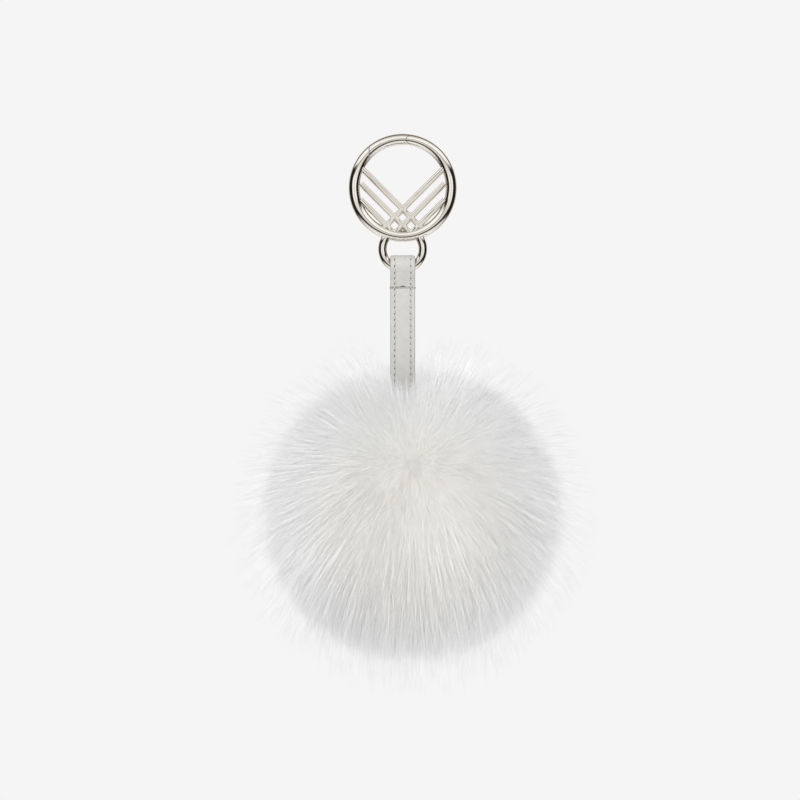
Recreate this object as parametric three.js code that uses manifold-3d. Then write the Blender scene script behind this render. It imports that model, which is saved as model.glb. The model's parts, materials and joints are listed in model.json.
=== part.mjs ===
// A fur pom-pom bag charm: a round spring-gate clasp, a small loop under it, a folded two-ply
// leather strap, and a ball of long-haired fur gathered round stuffing.
// Millimetres, +Z up, the front faces -Y, and the origin is the centre of the clasp ring.
import * as THREE from "three";
import { mergeVertices } from "three/addons/utils/BufferGeometryUtils.js";
import Module from "manifold-3d";

const wasm = await Module();
wasm.setup();

// Clasp ring: a round wire bent to a circle that stands in the XZ plane.
const RING_R = 17.9;
const RING_WIRE_R = 2.1;
const SEAM = 0.05;

// Gate: the part of the ring between the hinge and the nose. It opens inwards.
const PIN_ANGLE = THREE.MathUtils.degToRad(82);
const PIN_X = RING_R * Math.cos(PIN_ANGLE);
const PIN_Z = RING_R * Math.sin(PIN_ANGLE);
const PIN_R = 0.55;
const PIN_HALF_LENGTH = 1.8;
const EAR_R = 1.3;
const EAR_TO_GATE = 0.1;
const EAR_RELIEF_ANGLE = THREE.MathUtils.degToRad(265);
const GATE_SHOULDER_ANGLE = THREE.MathUtils.degToRad(230);
const NOSE_X = -12.5;
const NOSE_SLANT = 0.13;
const NOSE_GAP = 0.12;
const TONGUE_HALF = 0.65;
const SLOT_HALF = 0.75;

// Return spring of the gate: a small coil between the heel of the gate and the slot's roof.
const SPRING_X = 2.0;
const SPRING_LOW = -0.85;
const SPRING_HIGH = 1.2;
const SPRING_COIL_R = 0.42;
const SPRING_WIRE_R = 0.1;
const SPRING_TURNS = 4;
const SPRING_BORE_R = 0.65;

// Brace: a diamond lattice of bevelled bars across the lower half of the ring.
const BAR_HALF_WIDTH = 1.05;
const BAR_FACE_HALF = 0.6;
const BAR_HALF_DEPTH = 1.5;
const BAR_SIDE_HALF = 0.8;
const BAR_LENGTH = 44;
const BAR_DROPS = [8, 14, 20];

// Strap loop: a smaller ring brazed under the clasp ring.
const LOOP_R = 7.5;
const LOOP_WIRE_R = 1.55;
const LOOP_Z = -22.7;

// Strap: two plies of leather, folded over the loop and sewn flat below it.
const STRAP_HALF_WIDTH = 4.63;
const STRAP_PIVOT_Z = -29.2;
const FOLD_CLEAR_R = 2.65;
const PLY = 0.73;
const PLY_GAP = 0.05;
const STRAP_HALF = 2 * PLY + PLY_GAP;
const TACK_Z = -37;
const BEND_Z = -57;
const BEND_HALF_GAP = 0.85;
const TACK_WALL = 0.35;
const TACK_HEIGHT = 0.6;

// Strap anchor inside the ball: the tail goes through a slotted disc and is riveted under it.
const TAIL_END_Z = -104.5;
const RIVET_Z = -102.4;
const RIVET_R = 1.0;
const RIVET_HEAD_R = 2.0;
const RIVET_HEAD = 0.6;
const DISC_R = 8.0;
const DISC_TOP_Z = -98.6;
const DISC_THICK = 1.4;
const DISC_CLEAR = 0.2;

// Fur ball: stuffing in a gathered pelt, and the fur that stands on the pelt.
const BALL_Z = -121;
const PELT_R = 26;
const PELT_THICK = 1.2;
const NECK_R = 6.4;
const NECK_TOP_Z = -92.5;
const GATHER_WIRE_R = 0.5;
const STUFFING_R = 24.4;
const POCKET_R = 9.6;
const POCKET_FLOOR_Z = -106;
const FUR_R = 60;
const FUR_X = 2.3;
const FUR_Z = -119.5;
const FUR_NECK_R = 8.2;
const FUR_NECK_TOP_Z = -90;
const FUR_HOLE_R = 5.3;
const SOFT_GAP = 0.3;

function material(color, roughness, metalness) {
  return new THREE.MeshStandardMaterial({ color, roughness, metalness });
}

function meshOf(name, geometry, surface) {
  const mesh = new THREE.Mesh(geometry, surface);
  mesh.name = name;
  return mesh;
}

function solid(geometry) {
  const bare = geometry.clone();
  bare.deleteAttribute("normal");
  bare.deleteAttribute("uv");
  const merged = mergeVertices(bare, 1e-4);
  return new wasm.Manifold(
    new wasm.Mesh({
      numProp: 3,
      vertProperties: merged.attributes.position.array,
      triVerts: new Uint32Array(merged.index.array),
    }),
  );
}

function geometryOf(body) {
  const mesh = body.getMesh();
  const geometry = new THREE.BufferGeometry();
  geometry.setAttribute("position", new THREE.BufferAttribute(mesh.vertProperties, 3));
  geometry.setIndex(new THREE.BufferAttribute(mesh.triVerts, 1));
  geometry.computeVertexNormals();
  return geometry;
}

// A closed outline in the XZ plane, pushed along Y from yLow to yHigh.
function slabAcrossY(shape, yLow, yHigh, curveSegments = 12) {
  const options = { depth: yHigh - yLow, bevelEnabled: false, curveSegments };
  const geometry = new THREE.ExtrudeGeometry(shape, options);
  geometry.rotateX(Math.PI / 2);
  geometry.translate(0, yHigh, 0);
  return geometry;
}

// A closed outline in the YZ plane, pushed along X from -half to half.
function slabAcrossX(shape, half, curveSegments = 12) {
  const options = { depth: 2 * half, bevelEnabled: false, curveSegments };
  const geometry = new THREE.ExtrudeGeometry(shape, options);
  geometry.translate(0, 0, -half);
  const toX = new THREE.Matrix4().makeBasis(
    new THREE.Vector3(0, 1, 0),
    new THREE.Vector3(0, 0, 1),
    new THREE.Vector3(1, 0, 0),
  );
  return geometry.applyMatrix4(toX);
}

function outline(points) {
  return new THREE.Shape(points.map(([x, z]) => new THREE.Vector2(x, z)));
}

// Points are given from the hinge pin and moved to the ring's frame.
function outlineAtPin(points) {
  return outline(points.map(([x, z]) => [x + PIN_X, z + PIN_Z]));
}

// A torus round the Y axis, centred at height z.
function torusAcrossY(radius, wireRadius, z, around, section) {
  const profile = [];
  for (let i = 0; i <= section; i++) {
    const angle = (2 * Math.PI * i) / section;
    profile.push(new THREE.Vector2(radius + wireRadius * Math.cos(angle), wireRadius * Math.sin(angle)));
  }
  profile[section] = profile[0].clone();
  const geometry = new THREE.LatheGeometry(profile, around);
  return geometry.translate(0, 0, z);
}

// A solid of revolution round the Z axis from [radius, z] points.
function turned(points, around) {
  const profile = points.map(([r, z]) => new THREE.Vector2(r, z));
  return new THREE.LatheGeometry(profile, around).rotateX(Math.PI / 2);
}

function cylinderAcrossY(radius, halfLength, x, z, segments) {
  const geometry = new THREE.CylinderGeometry(radius, radius, 2 * halfLength, segments);
  return geometry.translate(x, 0, z);
}

function ringTorus(extra = 0) {
  return solid(torusAcrossY(RING_R, RING_WIRE_R + extra, 0, 72, 14));
}

// The seam at the nose leans a little, so the nose stops the gate from swinging outwards.
function noseLine(shift) {
  return [
    [NOSE_X - NOSE_SLANT + shift, 22],
    [NOSE_X + shift, 8.5],
  ];
}

function arcAtPin(radius, fromAngle, toAngle, steps) {
  const points = [];
  for (let i = 0; i <= steps; i++) {
    const angle = fromAngle + ((toAngle - fromAngle) * i) / steps;
    points.push([PIN_X + radius * Math.cos(angle), PIN_Z + radius * Math.sin(angle)]);
  }
  return points;
}

// The stretch of ring that belongs to the gate, bounded by an arc round the hinge pin.
function gateWindow(earRadius, lowerAngle, topX, noseShift) {
  const reach = 4;
  const rayEnd = [PIN_X + reach * Math.cos(lowerAngle), PIN_Z + reach * Math.sin(lowerAngle)];
  const points = [
    ...noseLine(noseShift),
    [-6, 9],
    rayEnd,
    ...arcAtPin(earRadius, lowerAngle, Math.PI / 2, 14),
    [PIN_X + topX, PIN_Z + earRadius],
    [PIN_X + topX, 22],
  ];
  return solid(slabAcrossY(outline(points), -4, 4));
}

function hingeSlot() {
  const points = [
    [-2.2, 1.45],
    [1.3, 1.45],
    [1.5, 0.62],
    [3.7, 0.62],
    [3.7, -4.5],
    [-2.2, -4.5],
  ];
  return solid(slabAcrossY(outlineAtPin(points), -SLOT_HALF, SLOT_HALF));
}

function springBore() {
  const length = 1.2;
  const bore = new THREE.CylinderGeometry(SPRING_BORE_R, SPRING_BORE_R, length, 16);
  bore.rotateX(Math.PI / 2);
  bore.translate(PIN_X + SPRING_X, 0, PIN_Z + SPRING_HIGH + SEAM - length / 2);
  return solid(bore);
}

function ringBody() {
  const pinHole = solid(cylinderAcrossY(PIN_R + 0.05, 3, PIN_X, PIN_Z, 20));
  return geometryOf(
    ringTorus()
      .subtract(gateWindow(EAR_R, EAR_RELIEF_ANGLE, SEAM, 0))
      .subtract(hingeSlot())
      .subtract(springBore())
      .subtract(pinHole),
  );
}

// The gate's tongue turns on the pin, and its heel takes the push of the spring.
function gateTongue() {
  const points = [
    [-2.6, 1.1],
    [-2.6, -1.4],
    [-1.0, -1.75],
    [0, -1.85],
    [1.2, -2.05],
    [2.6, -2.4],
    [2.6, -1.2],
    [1.3, -0.9],
    [1.2, 0],
    [0.85, 0.85],
    [0, 1.2],
  ];
  return solid(slabAcrossY(outlineAtPin(points), -TONGUE_HALF, TONGUE_HALF));
}

function gate() {
  const shoulder = EAR_R + EAR_TO_GATE;
  const pinHole = solid(cylinderAcrossY(PIN_R + 0.07, 3, PIN_X, PIN_Z, 20));
  return geometryOf(
    ringTorus()
      .intersect(gateWindow(shoulder, GATE_SHOULDER_ANGLE, -SEAM, NOSE_GAP))
      .add(gateTongue())
      .subtract(pinHole),
  );
}

class Helix extends THREE.Curve {
  constructor(radius, low, high, turns) {
    super();
    Object.assign(this, { radius, low, high, turns });
  }

  getPoint(t, target = new THREE.Vector3()) {
    const angle = 2 * Math.PI * this.turns * t;
    const height = this.low + (this.high - this.low) * t;
    return target.set(this.radius * Math.cos(angle), this.radius * Math.sin(angle), height);
  }
}

function gateSpring() {
  const low = SPRING_LOW + SPRING_WIRE_R;
  const high = SPRING_HIGH - SPRING_WIRE_R;
  const section = new THREE.Shape().absarc(0, 0, SPRING_WIRE_R, 0, 2 * Math.PI, false);
  const geometry = new THREE.ExtrudeGeometry(section, {
    steps: 10 * SPRING_TURNS,
    curveSegments: 6,
    bevelEnabled: false,
    extrudePath: new Helix(SPRING_COIL_R, low, high, SPRING_TURNS),
  });
  return geometry.translate(PIN_X + SPRING_X, 0, PIN_Z);
}

// One bevelled bar that runs up to the side given by lean, and meets the Z axis at -drop.
function braceBar(lean, drop) {
  const section = outline([
    [-BAR_HALF_WIDTH, -BAR_SIDE_HALF],
    [-BAR_FACE_HALF, -BAR_HALF_DEPTH],
    [BAR_FACE_HALF, -BAR_HALF_DEPTH],
    [BAR_HALF_WIDTH, -BAR_SIDE_HALF],
    [BAR_HALF_WIDTH, BAR_SIDE_HALF],
    [BAR_FACE_HALF, BAR_HALF_DEPTH],
    [-BAR_FACE_HALF, BAR_HALF_DEPTH],
    [-BAR_HALF_WIDTH, BAR_SIDE_HALF],
  ]);
  const bar = new THREE.ExtrudeGeometry(section, { depth: BAR_LENGTH, bevelEnabled: false });
  bar.translate(0, 0, -BAR_LENGTH / 2);
  bar.rotateY((lean * Math.PI) / 4);
  return solid(bar.translate(0, 0, -drop));
}

function insideOfRing() {
  return solid(cylinderAcrossY(RING_R, 4, 0, 0, 72));
}

function brace() {
  let bars = braceBar(1, BAR_DROPS[0]);
  for (const lean of [-1, 1]) {
    for (const drop of BAR_DROPS) {
      bars = bars.add(braceBar(lean, drop));
    }
  }
  return geometryOf(bars.intersect(insideOfRing()).subtract(ringTorus(SEAM)));
}

function strapLoop() {
  const loop = solid(torusAcrossY(LOOP_R, LOOP_WIRE_R, LOOP_Z, 36, 12));
  return geometryOf(loop.subtract(insideOfRing()).subtract(ringTorus(SEAM)));
}

// One side of the strap seen from its edge: up from lowZ, past the tack, round the fold and down.
function foldPath(path, foldRadius, half, lowZ) {
  const ease = 3.6;
  path.moveTo(half, lowZ);
  path.lineTo(half, TACK_Z);
  path.bezierCurveTo(half, TACK_Z + ease, foldRadius, STRAP_PIVOT_Z - ease, foldRadius, STRAP_PIVOT_Z);
  path.absarc(0, STRAP_PIVOT_Z, foldRadius, 0, Math.PI, false);
  path.bezierCurveTo(-foldRadius, STRAP_PIVOT_Z - ease, -half, TACK_Z + ease, -half, TACK_Z);
  path.lineTo(-half, lowZ);
  return path;
}

// The outer leather: a hairpin from the front of the bend, over the loop, to the back.
function strapFace() {
  const lowZ = BEND_Z + BEND_HALF_GAP;
  const innerFold = FOLD_CLEAR_R + PLY + PLY_GAP;
  const outer = foldPath(new THREE.Path(), innerFold + PLY, STRAP_HALF + PLY_GAP / 2, lowZ);
  const inner = foldPath(new THREE.Path(), innerFold, PLY + PLY_GAP, lowZ);
  const points = [...outer.getPoints(10), ...inner.getPoints(10).reverse()];
  return slabAcrossX(new THREE.Shape(points), STRAP_HALF_WIDTH);
}

// The lining leather: its two legs lie together below the tack.
function strapLining() {
  const lowZ = BEND_Z + BEND_HALF_GAP;
  const shape = foldPath(new THREE.Shape(), FOLD_CLEAR_R + PLY, PLY, lowZ);
  const eye = new THREE.Path();
  const tip = TACK_Z + 1.2;
  eye.moveTo(0, tip);
  eye.bezierCurveTo(-0.3, tip + 2.4, -FOLD_CLEAR_R, STRAP_PIVOT_Z - 3, -FOLD_CLEAR_R, STRAP_PIVOT_Z);
  eye.absarc(0, STRAP_PIVOT_Z, FOLD_CLEAR_R, Math.PI, 0, true);
  eye.bezierCurveTo(FOLD_CLEAR_R, STRAP_PIVOT_Z - 3, 0.3, tip + 2.4, 0, tip);
  shape.holes.push(eye);
  return slabAcrossX(shape, STRAP_HALF_WIDTH);
}

function roundedRectangle(path, halfX, halfY, corner) {
  path.moveTo(halfX - corner, -halfY);
  path.absarc(halfX - corner, -halfY + corner, corner, -Math.PI / 2, 0, false);
  path.absarc(halfX - corner, halfY - corner, corner, 0, Math.PI / 2, false);
  path.absarc(-halfX + corner, halfY - corner, corner, Math.PI / 2, Math.PI, false);
  path.absarc(-halfX + corner, -halfY + corner, corner, Math.PI, 1.5 * Math.PI, false);
  path.closePath();
  return path;
}

// The hand-sewn tack under the loop, as one band of thread wrapped round the strap.
function tackThread() {
  const halfX = STRAP_HALF_WIDTH + 0.1;
  const halfY = STRAP_HALF + 0.12;
  const band = roundedRectangle(new THREE.Shape(), halfX + TACK_WALL, halfY + TACK_WALL, 0.4);
  band.holes.push(roundedRectangle(new THREE.Path(), halfX, halfY, 0.05));
  const geometry = new THREE.ExtrudeGeometry(band, {
    depth: TACK_HEIGHT,
    bevelEnabled: false,
    curveSegments: 4,
  });
  return geometry.translate(0, 0, TACK_Z - TACK_HEIGHT / 2);
}

// A leg of the strap below the bend, with the rivet's hole near its end.
function tailPly(yLow, yHigh) {
  const top = BEND_Z - BEND_HALF_GAP;
  const shape = outline([
    [-STRAP_HALF_WIDTH, TAIL_END_Z],
    [STRAP_HALF_WIDTH, TAIL_END_Z],
    [STRAP_HALF_WIDTH, top],
    [-STRAP_HALF_WIDTH, top],
  ]);
  shape.holes.push(new THREE.Path().absarc(0, RIVET_Z, RIVET_R + 0.08, 0, 2 * Math.PI, false));
  return slabAcrossY(shape, yLow, yHigh, 18);
}

function anchorRivet() {
  const seat = STRAP_HALF + SEAM;
  const profile = [
    [0, -seat - RIVET_HEAD],
    [RIVET_HEAD_R, -seat - RIVET_HEAD],
    [RIVET_HEAD_R, -seat],
    [RIVET_R, -seat],
    [RIVET_R, seat],
    [RIVET_HEAD_R, seat],
    [RIVET_HEAD_R, seat + RIVET_HEAD],
    [0, seat + RIVET_HEAD],
  ].map(([r, y]) => new THREE.Vector2(r, y));
  return new THREE.LatheGeometry(profile, 20).translate(0, 0, RIVET_Z);
}

function anchorDisc() {
  const disc = new THREE.Shape().absarc(0, 0, DISC_R, 0, 2 * Math.PI, false);
  const halfX = STRAP_HALF_WIDTH + DISC_CLEAR;
  const halfY = STRAP_HALF + DISC_CLEAR;
  disc.holes.push(roundedRectangle(new THREE.Path(), halfX, halfY, 0.1));
  const geometry = new THREE.ExtrudeGeometry(disc, {
    depth: DISC_THICK,
    bevelEnabled: false,
    curveSegments: 12,
  });
  return geometry.translate(0, 0, DISC_TOP_Z - DISC_THICK);
}

// Points of a circle round the ball's centre from the bottom of the axis up to a given radius.
function ballArc(radius, topRadius, steps) {
  const last = Math.PI - Math.asin(topRadius / radius);
  const points = [];
  for (let i = 0; i <= steps; i++) {
    const angle = (last * i) / steps;
    points.push([radius * Math.sin(angle), BALL_Z - radius * Math.cos(angle)]);
  }
  return points;
}

// The pelt is a pouch: skin side in, gathered to a neck round the strap.
function pelt() {
  const innerNeck = NECK_R - PELT_THICK;
  const points = [
    ...ballArc(PELT_R, NECK_R + 2, 10),
    [NECK_R, NECK_TOP_Z - 1.6],
    [NECK_R, NECK_TOP_Z],
    [innerNeck, NECK_TOP_Z],
    [innerNeck, NECK_TOP_Z - 2.2],
    ...ballArc(PELT_R - PELT_THICK, innerNeck + 2, 10).reverse(),
  ];
  return turned(points, 24);
}

function gatherThread() {
  const points = [];
  const centre = NECK_R + SEAM + GATHER_WIRE_R;
  for (let i = 0; i <= 6; i++) {
    const angle = (2 * Math.PI * (i % 6)) / 6;
    const z = NECK_TOP_Z - 0.9 + GATHER_WIRE_R * Math.sin(angle);
    points.push([centre + GATHER_WIRE_R * Math.cos(angle), z]);
  }
  return turned(points, 24);
}

function stuffing() {
  const points = [...ballArc(STUFFING_R, POCKET_R, 9), [POCKET_R, POCKET_FLOOR_Z], [0, POCKET_FLOOR_Z]];
  return turned(points, 24);
}

// The fur as one closed form, with a hole down to the pelt's neck that the strap fills.
function furCoat() {
  const ball = new THREE.SphereGeometry(FUR_R, 32, 18).rotateX(Math.PI / 2);
  ball.translate(FUR_X, 0, FUR_Z);
  const points = [
    ...ballArc(PELT_R + SOFT_GAP, FUR_NECK_R, 10),
    [FUR_NECK_R, FUR_NECK_TOP_Z],
    [FUR_HOLE_R, FUR_NECK_TOP_Z + 2],
    [FUR_HOLE_R, FUR_Z + FUR_R + 1],
    [0, FUR_Z + FUR_R + 1],
  ];
  return geometryOf(solid(ball).subtract(solid(turned(points, 24))));
}

const nickel = () => material(0xd9d4ca, 0.12, 1);
const springSteel = () => material(0xb9bcc0, 0.3, 1);
const faceLeather = () => material(0xdcdad4, 0.5, 0);
const liningLeather = () => material(0xcfccc5, 0.6, 0);
const thread = () => material(0xe4e1d8, 0.8, 0);
const plastic = () => material(0xe6e4de, 0.4, 0);
const skin = () => material(0xe2d8c4, 0.85, 0);
const fibre = () => material(0xf2f2f0, 0.95, 0);
const fur = () => material(0xf4f3f0, 0.9, 0);

function groupOf(...meshes) {
  const group = new THREE.Group();
  group.add(...meshes);
  return group;
}

const clasp = groupOf(
  meshOf("ring_body", ringBody(), nickel()),
  meshOf("gate", gate(), nickel()),
  meshOf("hinge_pin", cylinderAcrossY(PIN_R, PIN_HALF_LENGTH, PIN_X, PIN_Z, 20), nickel()),
  meshOf("gate_spring", gateSpring(), springSteel()),
  meshOf("brace", brace(), nickel()),
  meshOf("strap_loop", strapLoop(), nickel()),
);

const strap = groupOf(
  meshOf("strap_face", strapFace(), faceLeather()),
  meshOf("strap_lining", strapLining(), liningLeather()),
  meshOf("tack_thread", tackThread(), thread()),
);

const tail = groupOf(
  meshOf("tail_front", tailPly(-STRAP_HALF, -PLY - PLY_GAP), faceLeather()),
  meshOf("tail_lining", tailPly(-PLY, PLY), liningLeather()),
  meshOf("tail_back", tailPly(PLY + PLY_GAP, STRAP_HALF), faceLeather()),
  meshOf("anchor_disc", anchorDisc(), plastic()),
  meshOf("anchor_rivet", anchorRivet(), nickel()),
);

const ball = groupOf(
  meshOf("pelt", pelt(), skin()),
  meshOf("gather_thread", gatherThread(), thread()),
  meshOf("stuffing", stuffing(), fibre()),
  meshOf("fur_coat", furCoat(), fur()),
);

const charm = new THREE.Group();
charm.add(clasp, strap, tail, ball);

export default charm;
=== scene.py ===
"""A white fur ball charm on a stitched leather strap and a polished clip ring, hung in a pale studio.

Metres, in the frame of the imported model: +Z up, the front faces -Y, origin at the clip ring's centre.
"""

import json
import math

import bmesh
import bpy
import numpy as np
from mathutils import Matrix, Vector, kdtree, noise


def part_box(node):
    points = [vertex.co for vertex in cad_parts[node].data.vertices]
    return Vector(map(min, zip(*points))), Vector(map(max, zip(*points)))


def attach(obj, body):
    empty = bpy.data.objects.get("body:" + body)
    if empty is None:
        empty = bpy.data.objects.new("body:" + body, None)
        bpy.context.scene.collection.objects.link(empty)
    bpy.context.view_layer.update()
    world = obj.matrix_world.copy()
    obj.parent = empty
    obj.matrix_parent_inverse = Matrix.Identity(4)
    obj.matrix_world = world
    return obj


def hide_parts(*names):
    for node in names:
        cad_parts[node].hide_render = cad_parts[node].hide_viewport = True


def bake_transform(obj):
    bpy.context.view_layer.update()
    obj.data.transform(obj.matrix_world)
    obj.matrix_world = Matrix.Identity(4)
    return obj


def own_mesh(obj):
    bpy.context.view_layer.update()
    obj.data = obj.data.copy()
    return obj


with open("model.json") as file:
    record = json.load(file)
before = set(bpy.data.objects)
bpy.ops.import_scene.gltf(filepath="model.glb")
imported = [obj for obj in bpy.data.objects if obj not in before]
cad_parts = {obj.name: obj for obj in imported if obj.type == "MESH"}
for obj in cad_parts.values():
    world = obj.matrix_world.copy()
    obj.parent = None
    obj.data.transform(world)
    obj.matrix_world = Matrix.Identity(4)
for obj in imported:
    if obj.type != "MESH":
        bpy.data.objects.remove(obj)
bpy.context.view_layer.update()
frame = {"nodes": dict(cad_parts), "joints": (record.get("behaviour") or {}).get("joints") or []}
MM = 0.001
UP = np.array([0.0, 0.0, 1.0])

# Clip ring: its wire, the gate's pin, and the outlines that part the gate from the ring.
# SEAM and NOSE_GAP are real gaps, and the constant after NOSE_GAP is half the width of the line of painted
# shade drawn over them, dark as the inside of a seam.
RING_LOW, RING_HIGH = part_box("ring_body")
RING_WIRE = (RING_HIGH.y - RING_LOW.y) / 2 * 1.003
RING_RADIUS = (RING_HIGH.x - RING_LOW.x) / 2 - RING_WIRE
JOINTS = {joint["name"]: joint for joint in frame["joints"]}
PIN = Vector(JOINTS["gate_hinge"]["pos_m"])
EAR_RADIUS = 1.3 * MM
SHOULDER_RADIUS = 1.4 * MM
EAR_RELIEF = math.radians(265)
SHOULDER_ANGLE = math.radians(230)
SEAM = 0.06 * MM
NOSE_GAP = 0.14 * MM
SEAM_SHADE_HALF = 0.24 * MM
NOSE_X = -12.5 * MM
NOSE_SLANT = 0.13 * MM
NOSE_LOW_Z = 8.5 * MM
WINDOW_TOP = 22 * MM
CUT_HALF = 4 * MM
SLOT_HALF = 0.75 * MM
TONGUE_HALF = 0.65 * MM
TRIM_WIRE = RING_WIRE * 0.985

# Brace: bars crossed at 45 degrees inside the ring.
BAR_HALF_WIDTH = 1.05 * MM
BAR_HALF_DEPTH = 1.5 * MM
BAR_ROUNDING = 0.62
BAR_LENGTH = 44 * MM
BAR_DROPS = (8 * MM, 14 * MM, 20 * MM)

# Gate spring: its wire's radius and its turns.
SPRING_WIRE = 0.1 * MM
SPRING_TURNS = 4

# Strap: one strip of two-ply leather, folded over the loop and running down into the ball.
STRAP_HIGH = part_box("strap_face")[1]
TAIL_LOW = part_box("tail_front")[0]
STRAP_HALF_WIDTH = STRAP_HIGH.x
PIVOT_Z = JOINTS["strap_swing"]["pos_m"][2]
STRIP = 1.5 * MM
FOLD_RADIUS = STRAP_HIGH.z - PIVOT_Z - STRIP / 2
TACK_Z = sum(corner.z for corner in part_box("tack_thread")) / 2
STITCH_INSET = 1.65 * MM
STITCH_PITCH = 2.25 * MM
SLIT_SLANT = math.radians(24)
EDGE_PAINT_MM = 0.35
CROWN = 0.10 * MM
GROOVE = 0.10 * MM
DIMPLE = 0.16 * MM
TACK_PINCH = 0.22 * MM
STITCH_RADIUS = 0.2 * MM
TACK_RADIUS = 0.17 * MM

# Fur ball: its middle and its layers' radii, the direction of its parting, and how far hairs stray.
PELT_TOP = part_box("pelt")[1].z
BALL = np.array([3.6 * MM, 0.0, -120.6 * MM])
DENSE_RADIUS = 56 * MM
UNDERFUR_RADIUS = 48.5 * MM
ROOT_RADIUS = 40 * MM
PARTING = np.array([-0.02, -0.72, 0.69])
REACH_LIMIT = 70.5 * MM
CLUMP_LEAN = 0.035
ROOT_SHAKE = 0.03

# Hair map: a hair's column gives its tone, cream below GREY_FROM, and above it a grey tip of painted shade
# that stands for the shade among the fringe's hairs.
UV_COLUMNS = 96
GREY_FROM = 0.6

# Camera: its distance, and the width of what it sees there.
CAMERA_DISTANCE = 1.5
FRAME_WIDTH = 0.2963
AIM = Vector((-1.0 * MM, 0, -78.6 * MM))
SENSOR_MM = 36

# Lights: name, place, size and power. The coat has some soft ones of its own.
STUDIO_LIGHTS = (
    ("key", (-0.5, -1.3, 0.7), (1.2, 1.2), 7),
    ("fill", (0.9, -1.2, 0.1), (1.0, 1.2), 3),
    ("back", (0.3, 1.4, 0.5), (1.4, 1.2), 3),
)
COAT_LIGHTS = (
    ("coat_key", (-0.5, -1.4, 0.3), (1.2, 1.2), 5),
    ("coat_fill", (0.7, -1.3, -0.2), (1.0, 1.2), 6.5),
    ("coat_low", (0.0, -0.8, -1.0), (1.2, 1.2), 32),
    ("coat_back", (0.0, 1.5, -0.3), (1.6, 1.4), 24),
)
BACKDROP = (0.913, 0.913, 0.913)
FLOOR_Z = -0.5
FLOOR_SIDES = 96

# What the metal reflects: pale and dark bands from below to above, and from the front to behind.
TENT_BANDS = (
    (0.0, (0.66, 0.60, 0.52)),
    (0.20, (0.60, 0.54, 0.46)),
    (0.23, (0.03, 0.027, 0.025)),
    (0.37, (0.02, 0.018, 0.016)),
    (0.41, (0.62, 0.59, 0.54)),
    (0.47, (1.05, 1.03, 0.99)),
    (0.58, (1.10, 1.09, 1.06)),
    (0.61, (0.10, 0.09, 0.08)),
    (0.64, (0.12, 0.11, 0.10)),
    (0.68, (1.15, 1.15, 1.14)),
    (0.88, (1.10, 1.10, 1.08)),
    (1.0, (0.50, 0.46, 0.41)),
)
TENT_BEHIND = (
    (0.0, (0.02, 0.018, 0.016)),
    (0.42, (0.03, 0.026, 0.022)),
    (0.55, (0.50, 0.44, 0.36)),
    (1.0, (0.74, 0.69, 0.61)),
)


def make_camera():
    data = bpy.data.cameras.new("camera")
    data.sensor_width = SENSOR_MM
    data.lens = SENSOR_MM * CAMERA_DISTANCE / FRAME_WIDTH
    camera = bpy.data.objects.new("camera", data)
    camera.location = AIM - Vector((0, CAMERA_DISTANCE, 0))
    camera.rotation_euler = (math.pi / 2, 0, 0)
    bpy.context.scene.collection.objects.link(camera)
    bpy.context.scene.camera = camera


# Materials -------------------------------------------------------------------------------------


class Nodes:
    """A node tree, with short calls to add nodes and links."""

    def __init__(self, tree):
        self.tree = tree

    def add(self, kind, **values):
        node = self.tree.nodes.new(kind)
        for key, value in values.items():
            if key in node.bl_rna.properties:
                setattr(node, key, value)
            else:
                node.inputs[key.replace("_", " ")].default_value = value
        return node

    def link(self, out, into):
        self.tree.links.new(out, into)

    def math(self, operation, a, b=0.0):
        node = self.add("ShaderNodeMath", operation=operation)
        for index, value in enumerate((a, b)):
            if isinstance(value, (int, float)):
                node.inputs[index].default_value = value
            else:
                self.link(value, node.inputs[index])
        return node.outputs[0]

    def ramp(self, source, *stops):
        node = self.add("ShaderNodeValToRGB")
        elements = node.color_ramp.elements
        while len(elements) < len(stops):
            elements.new(0.5)
        for element, (place, colour) in zip(elements, stops):
            element.position = place
            element.color = (*colour, 1)
        self.link(source, node.inputs[0])
        return node.outputs[0]

    def blend(self, share, a, b, blend_type="MIX"):
        node = self.add("ShaderNodeMix", data_type="RGBA", blend_type=blend_type)
        for index, value in ((0, share), (6, a), (7, b)):
            if isinstance(value, (int, float)):
                node.inputs[index].default_value = value
            elif isinstance(value, tuple):
                node.inputs[index].default_value = (*value, 1)
            else:
                self.link(value, node.inputs[index])
        return node.outputs[2]

    def share(self, source, low, high, curve="LINEAR", ends=(0.0, 1.0)):
        """How far the source is on its way from low to high, clamped, as a value between the two ends."""
        node = self.add("ShaderNodeMapRange", interpolation_type=curve)
        for index, value in enumerate((low, high, *ends), 1):
            node.inputs[index].default_value = value
        self.link(source, node.inputs[0])
        return node.outputs[0]

    def xyz(self, source):
        """The three parts of a vector, or of a coordinate named by its output."""
        if isinstance(source, str):
            source = self.add("ShaderNodeTexCoord").outputs[source]
        parts = self.add("ShaderNodeSeparateXYZ")
        self.link(source, parts.inputs[0])
        return tuple(parts.outputs)


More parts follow.
